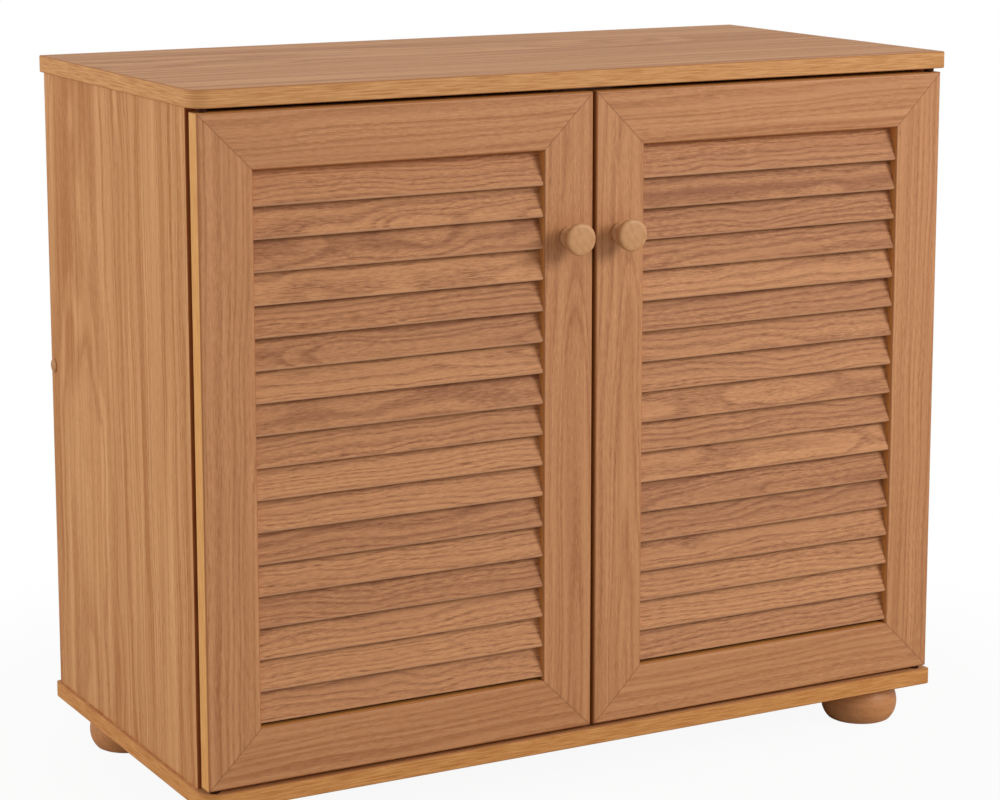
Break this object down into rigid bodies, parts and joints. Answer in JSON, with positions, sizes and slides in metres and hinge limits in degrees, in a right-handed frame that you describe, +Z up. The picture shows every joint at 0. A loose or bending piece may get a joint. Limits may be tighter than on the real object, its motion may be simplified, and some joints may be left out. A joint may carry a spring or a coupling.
{
  "type": "louvred door cabinet",
  "caption": "Low wooden cupboard on bun feet, closed by a pair of louvred frame doors that swing on corner pivots over a shelf.",
  "frame": {"origin": "middle of the footprint on the floor, knobs included", "axes": "+X along the width, +Y from the doors to the back, +Z up; the doors face -Y"},
  "size_m": [0.73, 0.3786, 0.628],
  "materials": {
    "cap_board": "satin oak-pattern board with a golden edge band",
    "side_board": "satin oak-pattern board",
    "door_wood": "satin lacquered wood",
    "slat_wood": "satin lacquered wood",
    "knob_wood": "turned and lacquered",
    "foot_wood": "turned and stained",
    "back_board": "hardboard, smooth face out",
    "dowel_wood": "bare beech",
    "screw_steel": "zinc plated",
    "pin_steel": "bronzed",
    "cap_plastic": "moulded, satin",
    "catch_plastic": "moulded, satin",
    "magnet": "bare ferrite",
    "plate_steel": "zinc plated"
  },
  "bodies": {
    "carcass": {"top_panel": "cap_board", "base_panel": "cap_board", "side_panel_left": "side_board", "side_panel_right": "side_board", "back_panel": "back_board", "rear_rail": "side_board", "shelf": "side_board", "feet": "foot_wood", "carcass_dowels": "dowel_wood", "carcass_screws": "screw_steel", "screw_caps": "cap_plastic", "pivot_pins": "pin_steel", "magnet_catch": "catch_plastic", "catch_magnets": "magnet"},
    "left_door": {"left_stile_outer": "door_wood", "left_stile_inner": "door_wood", "left_rail_top": "door_wood", "left_rail_bottom": "door_wood", "left_knob": "knob_wood", "left_strike_plate": "plate_steel", "left_slat_01": "slat_wood", "left_slat_02": "slat_wood", "left_slat_03": "slat_wood", "left_slat_04": "slat_wood", "left_slat_05": "slat_wood", "left_slat_06": "slat_wood", "left_slat_07": "slat_wood", "left_slat_08": "slat_wood", "left_slat_09": "slat_wood", "left_slat_10": "slat_wood", "left_slat_11": "slat_wood", "left_slat_12": "slat_wood", "left_slat_13": "slat_wood", "left_slat_14": "slat_wood", "left_slat_15": "slat_wood", "left_slat_16": "slat_wood", "left_slat_17": "slat_wood"},
    "right_door": {"right_stile_outer": "door_wood", "right_stile_inner": "door_wood", "right_rail_top": "door_wood", "right_rail_bottom": "door_wood", "right_knob": "knob_wood", "right_strike_plate": "plate_steel", "right_slat_01": "slat_wood", "right_slat_02": "slat_wood", "right_slat_03": "slat_wood", "right_slat_04": "slat_wood", "right_slat_05": "slat_wood", "right_slat_06": "slat_wood", "right_slat_07": "slat_wood", "right_slat_08": "slat_wood", "right_slat_09": "slat_wood", "right_slat_10": "slat_wood", "right_slat_11": "slat_wood", "right_slat_12": "slat_wood", "right_slat_13": "slat_wood", "right_slat_14": "slat_wood", "right_slat_15": "slat_wood", "right_slat_16": "slat_wood", "right_slat_17": "slat_wood"}
  },
  "joints": [
    {"name": "left_door_hinge", "type": "hinge", "parent": "carcass", "child": "left_door", "pos_m": [-0.353, -0.158, 0.332], "axis": [0, 0, -1], "range_deg": [0, 180]},
    {"name": "right_door_hinge", "type": "hinge", "parent": "carcass", "child": "right_door", "pos_m": [0.353, -0.158, 0.332], "axis": [0, 0, 1], "range_deg": [0, 180]}
  ]
}
